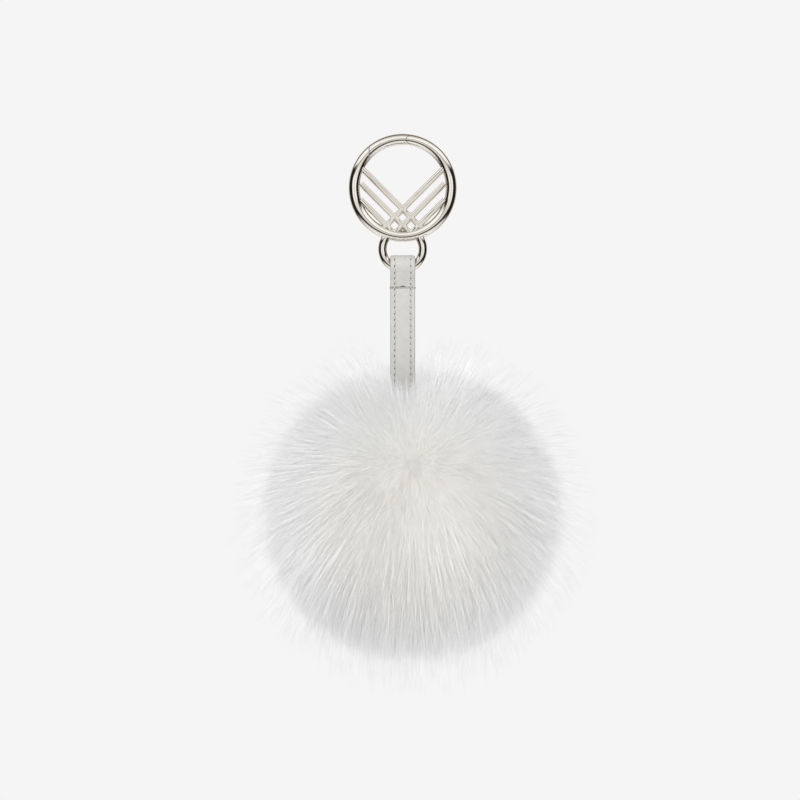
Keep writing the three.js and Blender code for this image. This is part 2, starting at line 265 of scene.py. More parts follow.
class MaterialNodes(Nodes):
    """A new material and its nodes, built round one main shader."""

    def __init__(self, name):
        self.material = bpy.data.materials.new(name)
        self.material.use_nodes = True
        super().__init__(self.material.node_tree)
        self.shader = self.tree.nodes["Principled BSDF"]
        self.output = self.tree.nodes["Material Output"]

    def noise(self, scale, detail=3.0, vector=None):
        node = self.add("ShaderNodeTexNoise", Scale=scale, Detail=detail)
        if vector is None:
            vector = self.add("ShaderNodeTexCoord").outputs["Object"]
        self.link(vector, node.inputs["Vector"])
        return node.outputs["Fac"]

    def turned(self, along, across, angle):
        """One coordinate of the plane (along, across) turned by an angle."""
        return self.math(
            "ADD",
            self.math("MULTIPLY", along, math.cos(angle)),
            self.math("MULTIPLY", across, math.sin(angle)),
        )

    def oval(self, a, b, half_a, half_b):
        """1 inside the oval with the given half axes, fading to 0 over its rim."""
        reach = self.math(
            "ADD",
            self.math("POWER", self.math("DIVIDE", a, half_a), 2.0),
            self.math("POWER", self.math("DIVIDE", b, half_b), 2.0),
        )
        return self.share(reach, 0.5, 1.4, "SMOOTHSTEP", ends=(1.0, 0.0))

    def bump(self, height, strength, distance):
        node = self.add("ShaderNodeBump", Strength=strength, Distance=distance)
        self.link(height, node.inputs["Height"])
        self.link(node.outputs[0], self.shader.inputs["Normal"])

    def set(self, **values):
        for key, value in values.items():
            self.shader.inputs[key.replace("_", " ")].default_value = value

    def surface(self, share, other):
        """Mixes a second shader into the main one, by a number or a node's output."""
        mix = self.add("ShaderNodeMixShader")
        if isinstance(share, float):
            mix.inputs[0].default_value = share
        else:
            self.link(share, mix.inputs[0])
        self.link(self.shader.outputs[0], mix.inputs[1])
        self.link(other.outputs[0], mix.inputs[2])
        self.link(mix.outputs[0], self.output.inputs["Surface"])


def grey(value, warm=0.0):
    return (value * (1 + warm), value, value * (1 - 2 * warm))


def painted_seam_shade(n):
    """1 on the lines of painted shade where the gate meets the ring, standing for the shade inside each seam:
    at its nose, over its pin and round the ear.
    """
    x, _, z = n.xyz("Object")
    from_pin_x = n.math("SUBTRACT", x, PIN.x)
    from_pin_z = n.math("SUBTRACT", z, PIN.z)

    def line(distance, half, where):
        near = n.math("LESS_THAN", n.math("ABSOLUTE", distance), half)
        return n.math("MULTIPLY", near, where)

    from_nose = n.math("SUBTRACT", x, NOSE_X + NOSE_GAP / 2)
    nose = line(from_nose, SEAM_SHADE_HALF, n.math("GREATER_THAN", z, NOSE_LOW_Z))
    over_pin = line(from_pin_x, SEAM_SHADE_HALF, n.math("GREATER_THAN", from_pin_z, EAR_RADIUS))
    squares = [n.math("POWER", part, 2.0) for part in (from_pin_x, from_pin_z)]
    from_ear = n.math("SUBTRACT", n.math("SQRT", n.math("ADD", *squares)), EAR_RADIUS)
    ear = line(from_ear, SEAM_SHADE_HALF / 2, n.math("LESS_THAN", from_pin_x, 0.0))
    return n.math("MAXIMUM", n.math("MAXIMUM", nose, over_pin), ear)


def polished_metal(name, wave_scale=380.0, wave=0.02, seam_shade=False):
    """Pale nickel plate: mirror-like, faintly cloudy, and a little wavy where it is cast."""
    n = MaterialNodes(name)
    n.set(Metallic=1.0)
    cloud = n.noise(140.0, 4.0)
    colour = n.ramp(cloud, (0.3, (0.80, 0.77, 0.71)), (0.7, (0.88, 0.86, 0.81)))
    # Painted shade: thin dark lines over each seam between the gate and the ring stand for the shade inside
    # it.
    if seam_shade:
        colour = n.blend(n.math("MULTIPLY", painted_seam_shade(n), 0.9), colour, (0.05, 0.045, 0.04))
    n.link(colour, n.shader.inputs["Base Color"])
    rough = n.math("MULTIPLY_ADD", n.noise(700.0, 2.0), 0.03)
    rough.node.inputs[2].default_value = 0.05
    n.link(rough, n.shader.inputs["Roughness"])
    n.bump(n.noise(wave_scale, 0.0), wave, 0.5 * MM)
    return n.material


def spring_steel():
    n = MaterialNodes("spring_steel")
    n.set(Metallic=1.0)
    n.link(n.ramp(n.noise(900.0), (0.3, grey(0.42)), (0.7, grey(0.56))), n.shader.inputs["Base Color"])
    n.link(n.ramp(n.noise(2000.0), (0.3, grey(0.25)), (0.7, grey(0.4))), n.shader.inputs["Roughness"])
    return n.material


def strap_leather(tack_along):
    """Pale leather with fine pebble grain, edge paint, painted shade in its slanted needle slits, and painted
    shadow in a dark oval just above the tack.
    """
    n = MaterialNodes("strap_leather")
    uv = n.add("ShaderNodeUVMap", uv_map="strip_mm").outputs[0]
    across, along, _ = n.xyz(uv)
    mottle = n.noise(0.35, 4.0, uv)
    fine = n.noise(5.0, 2.0, uv)
    base = n.ramp(mottle, (0.3, (0.53, 0.525, 0.49)), (0.7, (0.59, 0.585, 0.55)))
    base = n.blend(0.15, base, n.ramp(fine, (0.3, grey(0.34, 0.02)), (0.7, grey(0.66, 0.01))))
    edge = n.math("ABSOLUTE", across)
    at_edge = n.math("GREATER_THAN", edge, STRAP_HALF_WIDTH / MM - EDGE_PAINT_MM)
    base = n.blend(n.math("MULTIPLY", at_edge, 0.7), base, (0.46, 0.42, 0.37))
    row = n.math("SUBTRACT", edge, (STRAP_HALF_WIDTH - STITCH_INSET) / MM)
    half_pitch = STITCH_PITCH / MM / 2
    step = n.math("WRAP", along, half_pitch)
    step.node.inputs[2].default_value = -half_pitch
    # Painted shade: each slanted needle slit is darkened to stand for the shade in the hole and under its
    # thread.
    slit_shade = n.oval(n.turned(step, row, SLIT_SLANT), n.turned(row, step, -SLIT_SLANT), 0.50, 0.20)
    base = n.blend(n.math("MULTIPLY", slit_shade, 0.9), base, (0.09, 0.075, 0.065))
    # Painted shadow: a near-black oval across the strap just above the tack thread.
    tack_shadow = n.oval(n.math("SUBTRACT", along, (tack_along - 0.5 * MM) / MM), across, 0.34, 1.0)
    base = n.blend(n.math("MULTIPLY", tack_shadow, 0.95), base, (0.03, 0.02, 0.02))
    n.link(base, n.shader.inputs["Base Color"])
    cells = n.add("ShaderNodeTexVoronoi", feature="DISTANCE_TO_EDGE", Scale=2.6)
    n.link(uv, cells.inputs["Vector"])
    grain = n.math("ADD", n.math("MULTIPLY", cells.outputs["Distance"], 0.7), n.math("MULTIPLY", fine, 0.5))
    n.bump(grain, 0.35, 0.05 * MM)
    n.link(n.ramp(mottle, (0.3, grey(0.42)), (0.7, grey(0.55))), n.shader.inputs["Roughness"])
    n.set(Specular_IOR_Level=0.4, Coat_Weight=0.05, Coat_Roughness=0.3)
    return n.material



def sewing_thread(name, dark, pale):
    """Twisted thread: fine slanting ridges over a soft fibre colour."""
    n = MaterialNodes(name)
    twist = n.add("ShaderNodeTexWave", bands_direction="DIAGONAL", Scale=1500.0, Distortion=1.5)
    n.link(n.add("ShaderNodeTexCoord").outputs["Object"], twist.inputs["Vector"])
    n.link(n.ramp(twist.outputs["Fac"], (0.2, dark), (0.8, pale)), n.shader.inputs["Base Color"])
    n.bump(twist.outputs["Fac"], 0.4, 0.04 * MM)
    n.set(Roughness=0.7, Sheen_Weight=0.2)
    return n.material


def mottled(name, dark, pale, scale, roughness, grain=8, relief=0.3):
    """A plain matte surface, blotched at the scale and rough at a finer grain."""
    n = MaterialNodes(name)
    n.link(n.ramp(n.noise(scale, 4.0), (0.3, dark), (0.7, pale)), n.shader.inputs["Base Color"])
    n.bump(n.noise(scale * grain), relief, 0.1 * MM)
    n.set(Roughness=roughness)
    return n.material


def fur_hair():
    """Each hair runs from its root to a white tip; its column in the map makes it cream below GREY_FROM, and
    above it gives it a grey tip of painted shade for the shade among the fringe's hairs.
    """
    n = MaterialNodes("fur_hair")
    column, height, _ = n.xyz(n.add("ShaderNodeUVMap", uv_map="OFBake").outputs[0])
    white = n.ramp(
        height,
        (0.0, (0.965, 0.962, 0.95)),
        (0.45, (0.98, 0.98, 0.98)),
        (0.7, (0.985, 0.985, 0.987)),
        (1.0, (0.78, 0.78, 0.783)),
    )
    cream = n.ramp(
        height,
        (0.0, (0.95, 0.93, 0.82)),
        (0.5, (0.972, 0.96, 0.905)),
        (0.7, (0.978, 0.968, 0.93)),
        (1.0, (0.78, 0.78, 0.783)),
    )
    # Painted shade: these hairs grey towards their tips, standing for the shade among the hairs at the ball's
    # fringe.
    shade_tipped = n.ramp(
        height,
        (0.0, (0.975, 0.972, 0.96)),
        (0.6, (0.96, 0.96, 0.96)),
        (0.85, (0.50, 0.50, 0.505)),
    )
    not_shade_tipped = n.math("LESS_THAN", column, GREY_FROM)
    pale = n.blend(n.math("MULTIPLY", n.share(column, 0.0, GREY_FROM), not_shade_tipped), white, cream)
    body = n.blend(n.share(column, GREY_FROM, 1.0), pale, shade_tipped)
    n.link(body, n.shader.inputs["Base Color"])
    n.set(Roughness=0.6, Specular_IOR_Level=0.2)
    through = n.add("ShaderNodeBsdfTranslucent")
    n.link(body, through.inputs["Color"])
    n.surface(0.33, through)
    return n.material


# Mesh helpers ----------------------------------------------------------------------------------


def object_from(name, verts, faces, material, smooth=True):
    mesh = bpy.data.meshes.new(name)
    mesh.from_pydata([tuple(v) for v in verts], [], [tuple(f) for f in faces])
    mesh.validate()
    made = bpy.data.objects.new(name, mesh)
    bpy.context.scene.collection.objects.link(made)
    mesh.materials.append(material)
    mesh.polygons.foreach_set("use_smooth", [smooth] * len(mesh.polygons))
    return made


def tidy_shading(obj, degrees=32):
    """Faces out, smooth faces, and sharp edges where two faces meet at more than the given angle."""
    work = bmesh.new()
    work.from_mesh(obj.data)
    bmesh.ops.recalc_face_normals(work, faces=work.faces)
    limit = math.radians(degrees)
    for face in work.faces:
        face.smooth = True
    for edge in work.edges:
        edge.smooth = len(edge.link_faces) == 2 and edge.calc_face_angle(0) < limit
    work.to_mesh(obj.data)
    work.free()


def torus_verts(radius, wire, around, section, centre=(0, 0, 0)):
    """Vertices and quads of a torus round the Y axis."""
    theta = np.linspace(0, 2 * math.pi, around, endpoint=False)
    phi = np.linspace(0, 2 * math.pi, section, endpoint=False)
    t, p = np.meshgrid(theta, phi, indexing="ij")
    reach = radius + wire * np.cos(p)
    points = np.stack([reach * np.cos(t), wire * np.sin(p), reach * np.sin(t)], -1).reshape(-1, 3)
    i, j = np.meshgrid(np.arange(around), np.arange(section), indexing="ij")
    i2, j2 = (i + 1) % around, (j + 1) % section
    quads = np.stack([i * section + j, i * section + j2, i2 * section + j2, i2 * section + j], -1)
    return points + np.array(centre), quads.reshape(-1, 4)


def prism_across_y(points, half):
    """Vertices and faces of a closed XZ outline pushed along Y to both sides."""
    count = len(points)
    verts = [(x, -half, z) for x, z in points] + [(x, half, z) for x, z in points]
    faces = [tuple(range(count)), tuple(range(2 * count - 1, count - 1, -1))]
    for i in range(count):
        j = (i + 1) % count
        faces.append((i, i + count, j + count, j))
    return verts, faces


def carve(obj, cutter, operation):
    """Applies one exact boolean and removes the cutter."""
    tidy_shading(cutter)
    change = obj.modifiers.new("carve", "BOOLEAN")
    change.operation = operation
    change.solver = "EXACT"
    change.object = cutter
    graph = bpy.context.evaluated_depsgraph_get()
    made = bpy.data.meshes.new_from_object(obj.evaluated_get(graph))
    obj.modifiers.clear()
    obj.data = made
    bpy.data.objects.remove(cutter)


# Clip ring -------------------------------------------------------------------------------------


def ray_from_pin(radius, angle):
    return (PIN.x + radius * math.cos(angle), PIN.z + radius * math.sin(angle))


def gate_window(ear, lower, top_shift, nose_shift):
    """The outline, in XZ, of the stretch of ring that belongs to the gate."""
    points = [
        (NOSE_X - NOSE_SLANT + nose_shift, WINDOW_TOP),
        (NOSE_X + nose_shift, NOSE_LOW_Z),
        (-6 * MM, 9 * MM),
        ray_from_pin(4 * MM, lower),
    ]
    steps = 20
    for i in range(steps + 1):
        points.append(ray_from_pin(ear, lower + (math.pi / 2 - lower) * i / steps))
    points.append((PIN.x + top_shift, PIN.z + ear))
    points.append((PIN.x + top_shift, WINDOW_TOP))
    return points


def cutter_from(points, half, name):
    verts, faces = prism_across_y(points, half)
    return object_from(name, verts, faces, bpy.data.materials["ring_metal"])


def inside_cutter():
    """The space inside the middle line of the ring's wire."""
    angle = np.linspace(0, 2 * math.pi, 96, endpoint=False)
    circle = [(RING_RADIUS * math.cos(a), RING_RADIUS * math.sin(a)) for a in angle]
    return cutter_from(circle, CUT_HALF, "inside")


def ring_cutter(metal):
    """The ring a little thinner than it is, so that what it trims still runs into its surface."""
    verts, quads = torus_verts(RING_RADIUS, TRIM_WIRE, 160, 40)
    return object_from("ring_cut", verts, quads, metal)


def at_pin(points):
    """An outline in millimetres from the gate's pin."""
    return [(PIN.x + x * MM, PIN.z + z * MM) for x, z in points]


def ring_torus(name, metal):
    verts, quads = torus_verts(RING_RADIUS, RING_WIRE, 240, 48)
    made = object_from(name, verts, quads, metal)
    tidy_shading(made)
    return made


def make_clip_ring(metal):
    ring = ring_torus("clip_ring", metal)
    window = gate_window(EAR_RADIUS, EAR_RELIEF, SEAM, 0)
    carve(ring, cutter_from(window, CUT_HALF, "window"), "DIFFERENCE")
    slot = at_pin([(-2.2, 1.45), (1.3, 1.45), (1.5, 0.62), (3.7, 0.62), (3.7, -4.5), (-2.2, -4.5)])
    carve(ring, cutter_from(slot, SLOT_HALF, "slot"), "DIFFERENCE")
    tidy_shading(ring)
    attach(ring, "clasp")
    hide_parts("ring_body")


def make_gate(metal):
    gate = ring_torus("clip_gate", metal)
    window = gate_window(SHOULDER_RADIUS, SHOULDER_ANGLE, -SEAM, NOSE_GAP)
    carve(gate, cutter_from(window, CUT_HALF, "window"), "INTERSECT")
    tongue = [(-2.6, 1.1), (-2.6, -1.4), (-1.0, -1.75), (0, -1.85), (1.2, -2.05), (2.6, -2.4)]
    tongue += [(2.6, -1.2), (1.3, -0.9), (1.2, 0), (0.85, 0.85), (0, 1.2)]
    carve(gate, cutter_from(at_pin(tongue), TONGUE_HALF, "tongue"), "UNION")
    tidy_shading(gate)
    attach(gate, "gate")
    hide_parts("gate")


def make_strap_ring(metal):
    low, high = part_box("strap_loop")
    wire = (high.y - low.y) / 2 * 1.01
    radius = (high.x - low.x) / 2 - wire
    centre = (0, 0, low.z + radius + wire)
    verts, quads = torus_verts(radius, wire, 160, 40, centre)
    loop = object_from("strap_ring", verts, quads, metal)
    tidy_shading(loop)
    carve(loop, ring_cutter(metal), "DIFFERENCE")
    carve(loop, inside_cutter(), "DIFFERENCE")
    tidy_shading(loop)
    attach(loop, "clasp")
    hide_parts("strap_loop")


def brace_bar(name, lean, drop, metal):
    """One bar of rounded section at 45 degrees, leaning to one side, that meets the Z axis at -drop."""
    angle = np.linspace(0, 2 * math.pi, 32, endpoint=False)
    wide = BAR_HALF_WIDTH * np.sign(np.cos(angle)) * np.abs(np.cos(angle)) ** BAR_ROUNDING
    deep = BAR_HALF_DEPTH * np.sign(np.sin(angle)) * np.abs(np.sin(angle)) ** BAR_ROUNDING
    ahead = np.array([lean, 0, 1]) / math.sqrt(2)
    side = np.array([1, 0, -lean]) / math.sqrt(2)
    ring = wide[:, None] * side + deep[:, None] * np.array([0, 1, 0])
    ends = [ring + ahead * BAR_LENGTH / 2 * way - UP * drop for way in (-1, 1)]
    count = len(angle)
    faces = [(i, (i + 1) % count, (i + 1) % count + count, i + count) for i in range(count)]
    faces += [tuple(range(count)), tuple(range(2 * count - 1, count - 1, -1))]
    bar = object_from(name, np.concatenate(ends), faces, metal)
    tidy_shading(bar)
    return bar


def make_brace(metal):
    """The lattice of crossed bars, trimmed to the inside of the ring."""
    first, *others = BAR_DROPS
    brace = brace_bar("ring_brace", 1, first, metal)
    for lean, drop in [(-1, first)] + [(lean, drop) for lean in (1, -1) for drop in others]:
        carve(brace, brace_bar("bar", lean, drop, metal), "UNION")
    carve(brace, inside_cutter(), "INTERSECT")
    carve(brace, ring_cutter(metal), "DIFFERENCE")
    tidy_shading(brace)
    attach(brace, "clasp")
    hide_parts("brace")


def finish_cad_node(name, material, bevel=0.0):
    """A CAD node that stays gets its material, welded vertices, and a fine bevel if it has hard edges."""
    node = frame["nodes"][name]
    node.data.materials.clear()
    node.data.materials.append(material)
    weld = node.modifiers.new("weld", "WELD")
    weld.merge_threshold = 0.002 * MM
    if bevel:
        rounding = node.modifiers.new("bevel", "BEVEL")
        rounding.width = bevel
        rounding.segments = 4
        rounding.limit_method = "ANGLE"
        rounding.angle_limit = math.radians(30)


# Strap -----------------------------------------------------------------------------------------


def smooth_step(t):
    t = np.clip(t, 0, 1)
    return t * t * (3 - 2 * t)


def leg_offset(z):
    """How far the middle of the strip stands from the strap's middle plane, at each height below the fold."""
    flat = STRIP / 2 + 0.01 * MM
    sewn_below = 0.4 * MM
    share = smooth_step((z - (TACK_Z - sewn_below)) / (PIVOT_Z - TACK_Z + sewn_below)) ** 1.15
    return flat + (FOLD_RADIUS - flat) * share


def strip_path(step):
    """Points (y, z) of the strip's middle, from the back tail's end over the fold to the front tail's end."""
    leg = np.arange(TAIL_LOW.z + 1 * MM, PIVOT_Z, step)
    back = np.stack([leg_offset(leg), leg], -1)
    turns = int(math.pi * FOLD_RADIUS / step)
    angle = np.linspace(0, math.pi, turns + 1)
    fold = np.stack([FOLD_RADIUS * np.cos(angle), PIVOT_Z + FOLD_RADIUS * np.sin(angle)], -1)
    front = np.stack([-leg_offset(leg), leg], -1)[::-1]
    return np.concatenate([back, fold, front])


def strip_section(columns):
    """Half-width steps across the strip, closer together near the stitch rows and edges."""
    return np.sin(np.linspace(-math.pi / 2, math.pi / 2, columns))


def outer_height(across, along):
    """The face of the leather above its flat: crowned, grooved along the stitches, pulled in at each hole."""
    share = np.abs(across) / STRAP_HALF_WIDTH
    crown = CROWN * (1 - share**4)
    row = np.abs(np.abs(across) - (STRAP_HALF_WIDTH - STITCH_INSET))
    groove = GROOVE * np.exp(-((row / (0.45 * MM)) ** 2))
    to_hole = np.abs((along / STITCH_PITCH + 0.5) % 1 - 0.5) * STITCH_PITCH
    dimple = DIMPLE * np.exp(-((np.hypot(row, to_hole) / (0.32 * MM)) ** 2))
    return crown - groove - dimple


def strip_points(path, along, outward, across):
    """A closed ring of points round the strip at each step of its path, face first and then back."""
    tack_pinch = np.exp(-(((path[:, 1] - TACK_Z) / (0.45 * MM)) ** 2)) * TACK_PINCH
    edge = np.sqrt(np.clip(1 - (np.abs(across) / STRAP_HALF_WIDTH) ** 14, 0, 1))
    grid_across, grid_along = np.meshgrid(across, along)
    top = (STRIP / 2) * edge[None, :] + outer_height(grid_across, grid_along) * edge[None, :]
    top -= tack_pinch[:, None]
    bottom = -(STRIP / 2 - 0.02 * MM) * edge[None, :] * np.ones((len(path), 1))
    faces = []
    for height in (top, bottom):
        y = path[:, None, 0] + outward[:, None, 0] * height
        z = path[:, None, 1] + outward[:, None, 1] * height
        faces.append(np.stack([grid_across, y, z], -1))
    front, back = faces
    return np.concatenate([front, back[:, 1:-1][:, ::-1]], axis=1)


def map_strip(strap, girth, along):
    """A map of the strip in millimetres: across it, and along it."""
    places = np.stack([np.tile(girth, len(along)), np.repeat(along, len(girth))], -1) / MM
    layer = strap.data.uv_layers.new(name="strip_mm")
    index = np.empty(len(strap.data.loops), np.int32)
    strap.data.loops.foreach_get("vertex_index", index)
    layer.data.foreach_set("uv", places[index].astype(np.float32).ravel())


def make_strap():
    """The whole strip in one piece."""
    path = strip_path(0.25 * MM)
    steps = np.linalg.norm(np.diff(path, axis=0), axis=1)
    along = np.concatenate([[0], np.cumsum(steps)])
    on_front = path[:, 0] < 0
    tack_along = np.interp(-TACK_Z, -path[on_front, 1], along[on_front])
    leather = strap_leather(tack_along)
    tangent = np.gradient(path, axis=0)
    tangent /= np.linalg.norm(tangent, axis=1)[:, None]
    outward = np.stack([tangent[:, 1], -tangent[:, 0]], -1)
    across = strip_section(55) * STRAP_HALF_WIDTH
    ring = strip_points(path, along, outward, across)
    rows, loop = ring.shape[:2]
    points = ring.reshape(-1, 3)
    i, j = np.meshgrid(np.arange(rows - 1), np.arange(loop), indexing="ij")
    j2 = (j + 1) % loop
    quads = np.stack([i * loop + j, (i + 1) * loop + j, (i + 1) * loop + j2, i * loop + j2], -1)
    faces = quads.reshape(-1, 4).tolist()
    faces.append(list(range(loop)))
    faces.append(list(range((rows - 1) * loop, rows * loop))[::-1])
    strap = object_from("strap_leather", points, faces, leather)
    tidy_shading(strap, 50)
    map_strip(strap, np.concatenate([across, across[1:-1][::-1]]), along)
    across_joint(strap)
    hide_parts("strap_face", "strap_lining", "tail_front", "tail_lining", "tail_back")
    return path, along, outward


def across_joint(piece):
    """Bakes the piece's placement into its mesh."""
    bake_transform(piece)


def capsule(start, end, radius, sides=8, rings=6, bow=None):
    """A thread stitch from start to end, round in section, with closed ends, bowed out along bow."""
    start, end = np.array(start), np.array(end)
    axis = end - start
    length = np.linalg.norm(axis)
    axis = axis / length
    side = np.cross(axis, bow)
    side /= np.linalg.norm(side)
    lift = np.cross(side, axis)
    verts = []
    for i in range(rings + 1):
        t = i / rings
        swell = radius * math.sin(math.pi * min(max(t, 0.04), 0.96)) ** 0.35
        centre = start + axis * length * t + bow * radius * 0.6 * math.sin(math.pi * t)
        for k in range(sides):
            a = 2 * math.pi * k / sides
            verts.append(centre + swell * (math.cos(a) * side + math.sin(a) * lift))
    faces = []
    for i in range(rings):
        for k in range(sides):
            k2 = (k + 1) % sides
            faces.append((i * sides + k, i * sides + k2, (i + 1) * sides + k2, (i + 1) * sides + k))
    faces.append(tuple(range(sides))[::-1])
    faces.append(tuple(rings * sides + k for k in range(sides)))
    return verts, faces


def merged(parts):
    verts, faces = [], []
    for part_verts, part_faces in parts:
        base = len(verts)
        verts.extend(part_verts)
        faces.extend(tuple(base + i for i in face) for face in part_faces)
    return verts, faces


def make_stitches(path, along, outward, thread):
    """A lock stitch between each pair of needle holes, in both rows, along the whole strip."""
    parts = []
    rng = np.random.default_rng(11)
    row_x = STRAP_HALF_WIDTH - STITCH_INSET
    holes = np.arange(STITCH_PITCH, along[-1] - STITCH_PITCH, STITCH_PITCH)
    for side in (-1, 1):
        for low, high in zip(holes[:-1], holes[1:]):
            ends = []
            for place, inset in ((low, 0.3), (high, -0.3)):
                at = place + inset * MM
                y = np.interp(at, along, path[:, 0])
                z = np.interp(at, along, path[:, 1])
                oy = np.interp(at, along, outward[:, 0])
                oz = np.interp(at, along, outward[:, 1])
                height = STRIP / 2 + 0.02 * MM
                slant = 0.09 * MM * (1 if inset > 0 else -1) + rng.normal(0, 0.03) * MM
                ends.append((side * row_x + slant, y + oy * height, z + oz * height))
                bow = np.array([0, oy, oz])
            parts.append(capsule(*ends, STITCH_RADIUS, bow=bow))
    stitches = object_from("strap_stitches", *merged(parts), thread)
    tidy_shading(stitches, 60)
    across_joint(stitches)


def tube(points, radius, closed=True, sides=10):
    """A round tube through the points, in a loop or with capped ends."""
    points = np.array(points)
    count = len(points)
    ahead = np.roll(points, -1, 0) - np.roll(points, 1, 0) if closed else np.gradient(points, axis=0)
    ahead /= np.linalg.norm(ahead, axis=1)[:, None]
    side = np.cross(ahead, UP)
    side /= np.linalg.norm(side, axis=1)[:, None]
    lift = np.cross(side, ahead)
    angle = np.linspace(0, 2 * math.pi, sides, endpoint=False)
    verts = points[:, None] + radius * (
        np.cos(angle)[None, :, None] * side[:, None] + np.sin(angle)[None, :, None] * lift[:, None]
    )
    faces = []
    for i in range(count if closed else count - 1):
        i2 = (i + 1) % count
        for k in range(sides):
            k2 = (k + 1) % sides
            faces.append((i * sides + k, i2 * sides + k, i2 * sides + k2, i * sides + k2))
    if not closed:
        faces.append(tuple(range(sides)))
        faces.append(tuple((count - 1) * sides + k for k in reversed(range(sides))))
    return list(verts.reshape(-1, 3)), faces


def make_gate_spring(steel):
    """The small coil over the gate's heel."""
    low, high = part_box("gate_spring")
    coil = (high.x - low.x) / 2 - SPRING_WIRE
    angle = np.linspace(0, 2 * math.pi * SPRING_TURNS, 24 * SPRING_TURNS + 1)
    x = (low.x + high.x) / 2 + coil * np.cos(angle)
    y = (low.y + high.y) / 2 + coil * np.sin(angle)
    z = np.linspace(low.z + SPRING_WIRE, high.z - SPRING_WIRE, len(angle))
    spring = object_from("return_spring", *tube(np.stack([x, y, z], -1), SPRING_WIRE, closed=False), steel)
    tidy_shading(spring, 60)
    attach(spring, "clasp")
    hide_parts("gate_spring")
    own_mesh(spring)


def make_tack(thread):
    """Hand-sewn thread round the strap under the loop: two turns, each a little out of true."""
    half_x = STRAP_HALF_WIDTH + 0.16 * MM
    half_y = STRIP + 0.06 * MM
    parts = []
    for turn, (rise, tilt) in enumerate(((0.1, -0.24), (-0.12, 0.16))):
        angle = np.linspace(0, 2 * math.pi, 72, endpoint=False)
        x = half_x * np.sign(np.cos(angle)) * np.abs(np.cos(angle)) ** 0.35
        y = half_y * np.sign(np.sin(angle)) * np.abs(np.sin(angle)) ** 0.35
        z = TACK_Z + (rise + tilt * x / half_x) * MM
        z = z + 0.06 * MM * np.sin(3 * angle + turn)
        parts.append(tube(np.stack([x, y, z], -1), TACK_RADIUS))
    tack = object_from("tack_stitching", *merged(parts), thread)
    tidy_shading(tack, 60)
    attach(tack, "strap")
    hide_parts("tack_thread")


# Fur -------------------------------------------------------------------------------------------


def unit(v):
    return v / np.maximum(np.linalg.norm(v, axis=-1, keepdims=True), 1e-12)


def sphere_directions(count, rng):
    """Directions spread evenly over a sphere, then shaken a little."""
    k = np.arange(count) + 0.5
    z = 1 - 2 * k / count
    turn = math.pi * (1 + math.sqrt(5)) * k
    flat = np.sqrt(1 - z * z)
    points = np.stack([flat * np.cos(turn), flat * np.sin(turn), z], -1)
    return unit(points + rng.normal(0, 0.7 / math.sqrt(count), points.shape))


def nearest(directions, seeds):
    """Index of the nearest seed to each direction."""
    tree = kdtree.KDTree(len(seeds))
    for index, seed in enumerate(seeds):
        tree.insert(seed, index)
    tree.balance()
    return np.array([tree.find(direction)[1] for direction in directions])


def lumps(directions, scale, offset):
    """Smooth noise over the ball, about -1 to 1."""
    return np.array([noise.noise(Vector(d) * scale + Vector((offset, 0, 0))) for d in directions])


def dense_radius(directions):
    """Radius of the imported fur: round, dimpled at the top, and more so right at the strap's faces."""
    polar = np.arccos(np.clip(directions[:, 2], -1, 1))
    dimple = 0.05 * np.exp(-((polar / math.radians(17)) ** 2))
    return DENSE_RADIUS * (1 - dimple - 0.085 * by_strap(directions))


def by_strap(directions):
    """1 where the coat lies against the strap's front and back, fading to 0 beside it and below it."""
    across = directions[:, 0] + BALL[0] / DENSE_RADIUS
    return np.exp(-((across / 0.13) ** 2)) * smooth_step((directions[:, 2] - 0.78) / 0.12)


def creaminess(directions, rng):
    """Where the coat shows its cream undertone: the front, below the parting."""
    centre = unit(np.array([0.02, -1.0, -0.2]))
    near = directions @ centre
    field = smooth_step((near - 0.5) / 0.45)
    return np.clip(field * 0.85 + rng.normal(0.08, 0.10, len(directions)), 0, 1)


def hair_shades(tips, shade_tipped_share, rng):
    """Each hair's column: below GREY_FROM how cream it is, and above that how dark its tip of painted shade
    is.
    """
    shade_tipped = GREY_FROM + (1 - GREY_FROM) * rng.random(len(tips))
    return np.where(rng.random(len(tips)) < shade_tipped_share, shade_tipped, GREY_FROM * creaminess(tips, rng))


def clear_of_strap(paths):
    """Hairs give way to the strap: what would run inside it is moved to its front or back."""
    half_x, half_y = STRAP_HALF_WIDTH + 0.5 * MM, STRIP + 0.35 * MM
    x, y, z = paths[..., 0], paths[..., 1], paths[..., 2]
    side = np.where(paths[:, :1, 1] >= 0, 1.0, -1.0)
    inside = (np.abs(x) < half_x) & (y * side < half_y) & (z > PELT_TOP)
    share = smooth_step((half_x - np.abs(x)) / (1.5 * MM))
    paths[..., 1] = np.where(inside, y + side * (half_y - y * side) * share, y)
    return paths


def bezier(p0, p1, p2, steps):
    t = np.linspace(0, 1, steps)[None, :, None]
    return (1 - t) ** 2 * p0[:, None] + 2 * t * (1 - t) * p1[:, None] + t**2 * p2[:, None]


def hair_points(paths, radius):
    """Each hair's points: three round its path at every step, and one at its tip."""
    tangent = unit(np.gradient(paths, axis=1))
    guide = np.where(np.abs(tangent[:, :1, 2:]) < 0.8, [[[0, 0, 1.0]]], [[[1.0, 0, 0]]])
    side = unit(np.cross(tangent, guide))
    lift = np.cross(side, tangent)
    along = np.linspace(0, 1, paths.shape[1])
    taper = (1 - along**1.6 * 0.9)[None, :-1] * radius[:, None]
    angle = np.array([0, 2, 4]) * math.pi / 3
    rings = paths[:, :-1, None] + taper[:, :, None, None] * (
        np.cos(angle)[None, None, :, None] * side[:, :-1, None]
        + np.sin(angle)[None, None, :, None] * lift[:, :-1, None]
    )
    return np.concatenate([rings.reshape(len(paths), -1, 3), paths[:, -1:]], axis=1)


